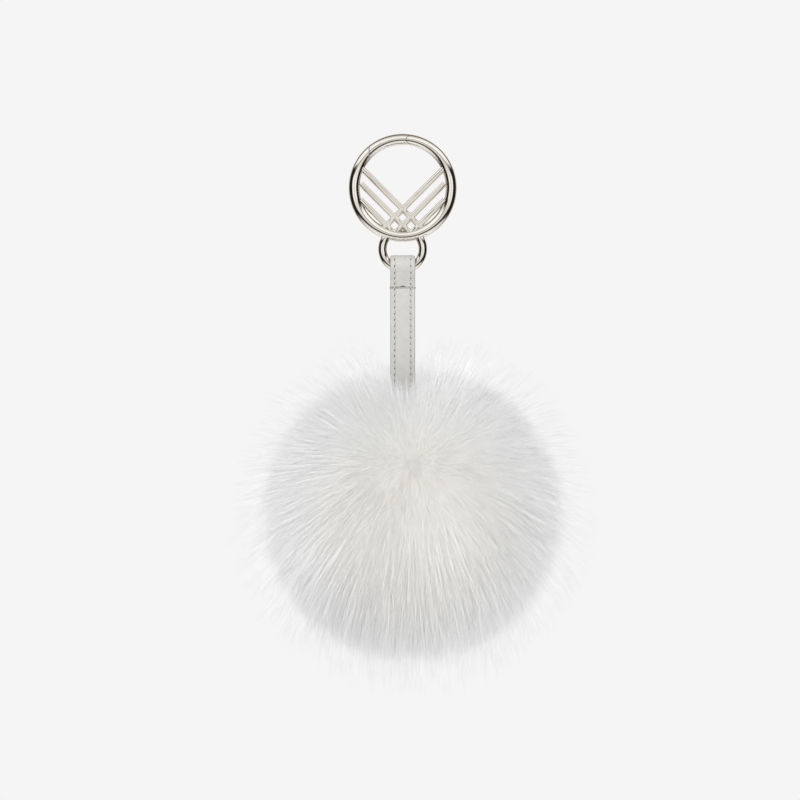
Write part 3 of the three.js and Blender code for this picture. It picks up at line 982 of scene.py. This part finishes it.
def hair_faces(steps):
    """The quads along one hair, and the triangles at its tip and its root."""
    quads, tris = [], []
    for ring in range(steps - 2):
        for k in range(3):
            a, b = 3 * ring + k, 3 * ring + (k + 1) % 3
            quads.append((a, b, b + 3, a + 3))
    last = 3 * (steps - 2)
    for k in range(3):
        tris.append((last + k, last + (k + 1) % 3, last + 3))
    tris.append((2, 1, 0))
    return np.array(quads), np.array(tris)


def hair_map(shade, steps):
    """Each hair has a column of the map for its shade, and runs up it from its root to its tip."""
    column = (np.floor(shade * (UV_COLUMNS - 1)) + 0.5) / UV_COLUMNS
    u = column[:, None] + np.tile([-0.3, 0.0, 0.3], steps - 1)[None] / UV_COLUMNS
    u = np.concatenate([u, column[:, None]], 1)
    along = np.linspace(0, 1, steps)
    v = np.concatenate([np.repeat(along[:-1], 3), [1.0]]) * 0.96 + 0.02
    return np.stack([u, np.broadcast_to(v, u.shape)], -1).reshape(-1, 2)


def hair_mesh(name, paths, radius, shade, material):
    """Closed three-sided tapering hairs along the paths, in one mesh."""
    count, steps, _ = paths.shape
    points = hair_points(paths, radius)
    quads, tris = hair_faces(steps)
    base = (np.arange(count) * points.shape[1])[:, None]
    loops = np.concatenate([(base + face.ravel()[None]).ravel() for face in (quads, tris)]).astype(np.int32)
    quad_count, tri_count = count * len(quads), count * len(tris)
    starts = [np.arange(quad_count) * 4, quad_count * 4 + np.arange(tri_count) * 3]
    mesh = bpy.data.meshes.new(name)
    mesh.vertices.add(count * points.shape[1])
    mesh.vertices.foreach_set("co", points.astype(np.float32).ravel())
    mesh.loops.add(len(loops))
    mesh.loops.foreach_set("vertex_index", loops)
    mesh.polygons.add(quad_count + tri_count)
    mesh.polygons.foreach_set("loop_start", np.concatenate(starts).astype(np.int32))
    mesh.polygons.foreach_set("use_smooth", np.ones(quad_count + tri_count, bool))
    layer = mesh.uv_layers.new(name="OFBake")
    layer.data.foreach_set("uv", hair_map(shade, steps)[loops].astype(np.float32).ravel())
    mesh.update()
    mesh.materials.append(material)
    made = bpy.data.objects.new(name, mesh)
    bpy.context.scene.collection.objects.link(made)
    return made


def towards_parting(tips):
    """From each tip, which way its root lies: the coat parts high on the front, and high on the back."""
    front = smooth_step(0.5 - tips[:, 1:2] / 0.9)
    back = PARTING * np.array([1.0, -1.0, 1.0])
    return front * PARTING + (1 - front) * back


def grow(count, rng, clumps, clump_share, even, laid, reach, steps):
    """Paths of hairs, gathered into clumps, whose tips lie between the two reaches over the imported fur.

    An even coat (1) is clumped alike all round, an uneven one (0) only in the fall below the parting.
    """
    tips = sphere_directions(count, rng)
    seeds = sphere_directions(clumps, rng)
    mine = nearest(tips, seeds)
    low = smooth_step((0.55 - tips[:, 2:]) / 1.0)
    fall = smooth_step((0.55 - tips[:, 2:]) / 0.7) * smooth_step((tips[:, 2:] + 0.8) / 0.4)
    share = clump_share * (even + (1 - even) * fall) * rng.uniform(0.5, 1.0, count)[:, None]
    tips = unit(tips * (1 - share) + seeds[mine] * share)
    length = rng.beta(1.6, 2.2, clumps)[mine] * 0.65 + rng.beta(1.6, 2.2, count) * 0.35
    length = length * (1 - 0.9 * by_strap(tips))
    tip_radius = dense_radius(tips) * (reach[0] + (reach[1] - reach[0]) * length)
    tip_radius = np.minimum(tip_radius, REACH_LIMIT)
    lean = rng.normal(0, CLUMP_LEAN, (clumps, 3))[mine] * (0.3 + 0.7 * low)
    facing = np.clip(tips @ unit(np.array([0, -1.0, -0.35])), 0, 1)[:, None]
    away = np.linalg.norm(tips - PARTING, axis=1, keepdims=True)
    pull = laid[0] + (laid[1] - laid[0]) * smooth_step(facing)
    pull = pull * (0.35 + 0.65 * smooth_step(away / 0.7))
    shake = rng.normal(0, ROOT_SHAKE, tips.shape)
    roots = unit(tips + pull * towards_parting(tips) + lean + shake)
    bend = unit(roots * 0.45 + tips * 0.55)
    p0 = BALL + roots * ROOT_RADIUS
    p2 = BALL + tips * tip_radius[:, None]
    p1 = BALL + bend * (ROOT_RADIUS * 0.35 + tip_radius * 0.65)[:, None]
    p1 = p1 + rng.normal(0, 0.5 * MM, p1.shape)
    return clear_of_strap(bezier(p0, p1, p2, steps)), tips


def make_hair_set(name, pieces, per_piece, thickness, shade_tipped_share, material, **groom):
    """One layer of the coat, cut into pieces by direction round the ball."""
    rng = np.random.default_rng(sum(map(ord, name)))
    paths, tips = grow(pieces * per_piece, rng, **groom)
    radius = thickness * rng.uniform(0.7, 1.2, len(paths))
    shade = hair_shades(tips, shade_tipped_share, rng)
    order = np.argsort(np.arctan2(tips[:, 0], -tips[:, 1]), kind="stable")
    for number, chosen in enumerate(np.array_split(order, pieces), 1):
        piece = hair_mesh(f"{name}_{number}", paths[chosen], radius[chosen], shade[chosen], material)
        bpy.data.collections["coat"].objects.link(piece)
        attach(piece, "pompom")


def make_underfur(material):
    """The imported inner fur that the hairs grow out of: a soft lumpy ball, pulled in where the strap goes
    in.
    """
    work = bmesh.new()
    bmesh.ops.create_icosphere(work, subdivisions=6, radius=1.0)
    directions = unit(np.array([v.co for v in work.verts]))
    radius = UNDERFUR_RADIUS * dense_radius(directions) / DENSE_RADIUS
    radius *= 1 + 0.02 * lumps(directions, 6.0, 3.0) + 0.012 * lumps(directions, 22.0, 9.0)
    for vert, direction, reach in zip(work.verts, directions, radius):
        vert.co = Vector(BALL + direction * reach)
    mesh = bpy.data.meshes.new("underfur")
    work.to_mesh(mesh)
    work.free()
    mesh.materials.append(material)
    mesh.polygons.foreach_set("use_smooth", [True] * len(mesh.polygons))
    made = bpy.data.objects.new("underfur", mesh)
    bpy.context.scene.collection.objects.link(made)
    bpy.data.collections["coat"].objects.link(made)
    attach(made, "pompom")
    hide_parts("fur_coat")


# Studio ----------------------------------------------------------------------------------------


def area_light(name, place, size, power, aim=(0, 0, -0.1), only=None):
    """A soft rectangle of light, on everything or only on the pieces of one collection."""
    data = bpy.data.lights.new(name, "AREA")
    data.shape = "RECTANGLE"
    data.size, data.size_y = size
    data.energy = power
    light = bpy.data.objects.new(name, data)
    light.location = place
    light.rotation_euler = (Vector(aim) - Vector(place)).to_track_quat("-Z", "Y").to_euler()
    light.visible_glossy = False
    if only is not None:
        light.light_linking.receiver_collection = only
    bpy.context.scene.collection.objects.link(light)


def make_world():
    """Pale backdrop for the camera, soft light from above for surfaces, banded light tent for reflections."""
    world = bpy.data.worlds.new("studio")
    world.use_nodes = True
    bpy.context.scene.world = world
    n = Nodes(world.node_tree)
    x, y, z = n.xyz("Generated")
    height = n.share(z, -1.0, 1.0)
    soft = n.ramp(height, (0.0, grey(1.0)), (0.5, grey(0.98)), (1.0, (0.96, 0.96, 0.97)))
    aside = n.share(n.math("ABSOLUTE", x), 0.58, 0.70, "SMOOTHSTEP")
    level = n.share(n.math("ABSOLUTE", z), 0.50, 0.38, "SMOOTHSTEP")
    tent = n.blend(n.math("MULTIPLY", aside, level), n.ramp(height, *TENT_BANDS), (0.015, 0.013, 0.012))
    ahead = n.share(y, -0.97, -0.995, "SMOOTHSTEP")
    tent = n.blend(n.math("MULTIPLY", ahead, 0.4), tent, (0.40, 0.38, 0.35))
    tent = n.blend(n.share(y, 0.05, 0.12, "SMOOTHSTEP"), tent, n.ramp(y, *TENT_BEHIND))
    ray = n.add("ShaderNodeLightPath").outputs
    lit = n.blend(ray["Is Glossy Ray"], soft, tent)
    seen = n.blend(ray["Is Camera Ray"], lit, BACKDROP)
    n.link(seen, n.tree.nodes["Background"].inputs["Color"])


def make_floor():
    """A pale round floor well below the charm, fading out before its rim."""
    n = MaterialNodes("studio_floor")
    n.set(Roughness=0.9)
    n.link(n.ramp(n.noise(3.0), (0.3, grey(0.88)), (0.7, grey(0.91))), n.shader.inputs["Base Color"])
    length = n.add("ShaderNodeVectorMath", operation="LENGTH")
    n.link(n.add("ShaderNodeTexCoord").outputs["Object"], length.inputs[0])
    fade = n.ramp(length.outputs["Value"], (0.3, grey(0.0)), (0.95, grey(1.0)))
    n.surface(fade, n.add("ShaderNodeBsdfTransparent"))
    angle = np.linspace(0, 2 * math.pi, FLOOR_SIDES, endpoint=False)
    verts = [(math.cos(a), math.sin(a), 0) for a in angle]
    floor = object_from("floor", verts, [tuple(range(FLOOR_SIDES))], n.material, smooth=False)
    floor.location = (0, 0, FLOOR_Z)


# Build -----------------------------------------------------------------------------------------


def build_studio():
    make_camera()
    make_world()
    make_floor()
    for light in STUDIO_LIGHTS:
        area_light(*light)
    coat = bpy.data.collections.new("coat")
    for light in COAT_LIGHTS:
        area_light(*light, only=coat)


def build_clip(metal):
    ring_metal = polished_metal("ring_metal", seam_shade=True)
    make_clip_ring(ring_metal)
    make_gate(ring_metal)
    make_strap_ring(metal)
    make_brace(polished_metal("cast_metal", wave_scale=150.0, wave=0.55))
    finish_cad_node("hinge_pin", metal, bevel=0.08 * MM)
    make_gate_spring(spring_steel())


def build_strap(thread):
    path, along, outward = make_strap()
    make_stitches(path, along, outward, thread)
    make_tack(sewing_thread("tack_thread", (0.30, 0.25, 0.22), (0.55, 0.49, 0.45)))


def build_ball(metal, thread):
    """What holds the strap inside the ball, and the coat in its three layers of hairs."""
    finish_cad_node("anchor_disc", mottled("anchor_plastic", grey(0.74, 0.01), grey(0.8, 0.01), 400.0, 0.5))
    finish_cad_node("anchor_rivet", metal, bevel=0.1 * MM)
    pelt_colours = (0.62, 0.54, 0.42), (0.74, 0.67, 0.55)
    finish_cad_node("pelt", mottled("pelt_skin", *pelt_colours, 120.0, 0.75, grain=12, relief=0.4))
    finish_cad_node("gather_thread", thread)
    finish_cad_node("stuffing", mottled("stuffing_fibre", grey(0.82), grey(0.9), 300.0, 0.95))
    hair = fur_hair()
    make_underfur(hair)
    make_hair_set("fur_under", 6, 12000, 0.055 * MM, 0.1, hair, clumps=26000, clump_share=0.12,
                  even=0.2, laid=(0.35, 0.6), reach=(0.93, 1.05), steps=4)
    make_hair_set("fur_guard", 6, 6500, 0.045 * MM, 0.35, hair, clumps=20000, clump_share=0.17,
                  even=0.2, laid=(0.35, 0.9), reach=(0.95, 1.15), steps=6)
    make_hair_set("fur_wisp", 3, 5500, 0.045 * MM, 0.9, hair, clumps=6500, clump_share=0.5,
                  even=0.8, laid=(0.3, 0.7), reach=(1.03, 1.36), steps=7)


def build():
    build_studio()
    metal = polished_metal("polished_metal")
    thread = sewing_thread("strap_thread", (0.50, 0.48, 0.44), (0.68, 0.67, 0.63))
    build_clip(metal)
    build_strap(thread)
    build_ball(metal, thread)


# Light passes from hair to hair many times before it leaves the coat, so it may bounce often.
bpy.context.scene.view_settings.view_transform = "Standard"
bpy.context.scene.cycles.max_bounces = 24
bpy.context.scene.cycles.diffuse_bounces = 16
bpy.context.scene.cycles.transmission_bounces = 16
build()
